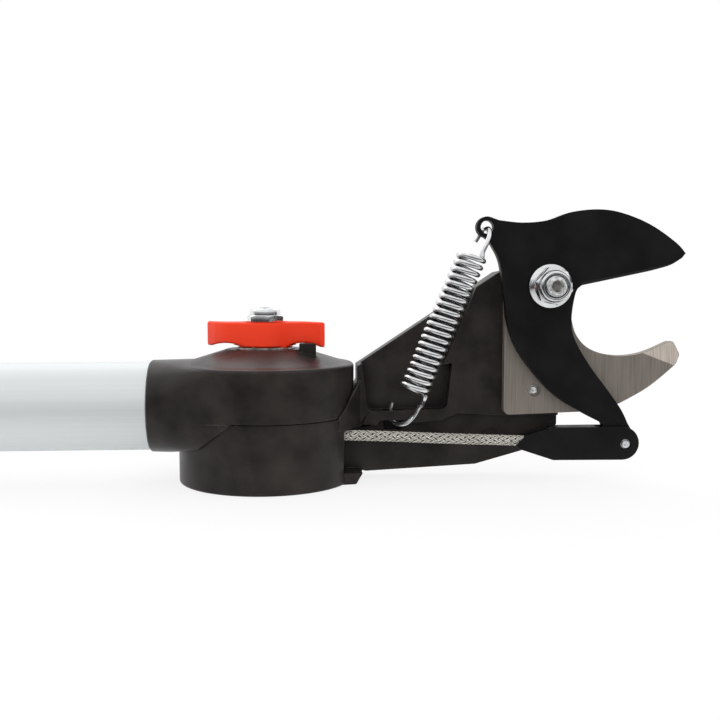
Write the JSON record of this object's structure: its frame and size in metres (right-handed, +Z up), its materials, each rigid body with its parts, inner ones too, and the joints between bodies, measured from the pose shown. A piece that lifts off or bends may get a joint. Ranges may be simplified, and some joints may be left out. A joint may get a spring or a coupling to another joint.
{
  "type": "tree pruner head",
  "caption": "Cutting head of a pole tree pruner: bypass blade and hook on an arm that swivels on a lever-clamped drum at a tube's end; a cord closes it and a spring opens it.",
  "frame": {"origin": "middle of the drum's flat base, on the swivel axis", "axes": "+X along the pole towards the cutter, +Y away from the side with the blade, +Z up along the swivel axis"},
  "size_m": [0.4703, 0.0704, 0.107],
  "materials": {
    "aluminium": "satin drawn aluminium",
    "black_plastic": "moulded, satin",
    "zinc": "bright zinc plated",
    "steel": "brushed",
    "orange_plastic": "moulded, satin gloss",
    "nylon": "natural nylon",
    "black_coat": "black non-stick coat",
    "braid": "braided"
  },
  "bodies": {
    "pole": {"pole_tube": "aluminium", "swivel_cap": "black_plastic", "socket_screws": "zinc", "swivel_bolt": "zinc", "swivel_bolt_washer": "zinc", "swivel_nut": "zinc", "swivel_nut_washer": "zinc", "lever_washer": "steel", "sheave_bush": "steel"},
    "lever": {"clamp_lever": "orange_plastic"},
    "head": {"head_frame": "black_plastic", "guide_pin": "zinc", "hook_plate": "steel", "hook_rivet": "zinc", "pivot_bolt": "zinc", "pivot_bolt_washer": "zinc", "pivot_nut": "zinc"},
    "blade": {"cutting_blade": "black_coat"},
    "link": {"pull_link": "black_coat", "link_pin": "zinc", "cord_pin": "zinc"},
    "cord": {"pull_cord": "braid"},
    "tail": {"cord_tail": "braid", "cord_terminal": "zinc"},
    "sheave": {"cord_sheave": "nylon"},
    "roller": {"guide_roller": "nylon"},
    "spring": {"return_spring": "zinc"}
  },
  "joints": [
    {"name": "lever_turn", "type": "hinge", "parent": "pole", "child": "lever", "pos_m": [0, 0, 0.058], "axis": [0, 0, 1], "range_deg": [0, 90]},
    {"name": "head_swivel", "type": "hinge", "parent": "pole", "child": "head", "pos_m": [0, 0, 0.0135], "axis": [0, 0, 1], "range_deg": [-68, 68], "deforming": ["pull_cord", "cord_tail"]},
    {"name": "blade_pivot", "type": "hinge", "parent": "head", "child": "blade", "pos_m": [0.111, -0.013, 0.0773], "axis": [0, 1, 0], "range_deg": [0, 56], "stiffness_Nm_per_rad": 0.6, "springref_deg": -22.92},
    {"name": "link_pivot", "type": "hinge", "parent": "blade", "child": "link", "pos_m": [0.142, -0.013, 0.015], "axis": [0, 1, 0], "range_deg": [-56, 0]},
    {"name": "cord_pull", "type": "slide", "parent": "head", "child": "cord", "axis": [-1, 0, 0], "range_m": [0, 0.0656], "deforming": ["pull_cord"]},
    {"name": "tail_pull", "type": "slide", "parent": "pole", "child": "tail", "axis": [-1, 0, 0], "range_m": [0, 0.0656], "deforming": ["cord_tail"]},
    {"name": "sheave_turn", "type": "hinge", "parent": "pole", "child": "sheave", "pos_m": [0, 0, 0.0195], "axis": [0, 0, 1], "range_deg": [-290, 0]},
    {"name": "roller_turn", "type": "hinge", "parent": "head", "child": "roller", "pos_m": [0.014, -0.01975, 0.0195], "axis": [0, 0, 1], "range_deg": [0, 880]},
    {"name": "spring_stretch", "type": "slide", "parent": "head", "child": "spring", "axis": [0.9411, 0, 0.3381], "range_m": [0, 0.032], "deforming": ["return_spring"]}
  ],
  "couplings": [
    {"joint": "link_pivot", "follows": "blade_pivot", "ratio": -1},
    {"joint": "cord_pull", "follows": "blade_pivot", "m_per_rad": 0.06683},
    {"joint": "tail_pull", "follows": "blade_pivot", "m_per_rad": 0.06683},
    {"joint": "sheave_turn", "follows": "blade_pivot", "ratio": -5.141},
    {"joint": "roller_turn", "follows": "blade_pivot", "ratio": 15.542},
    {"joint": "spring_stretch", "follows": "blade_pivot", "m_per_rad": 0.03244}
  ]
}
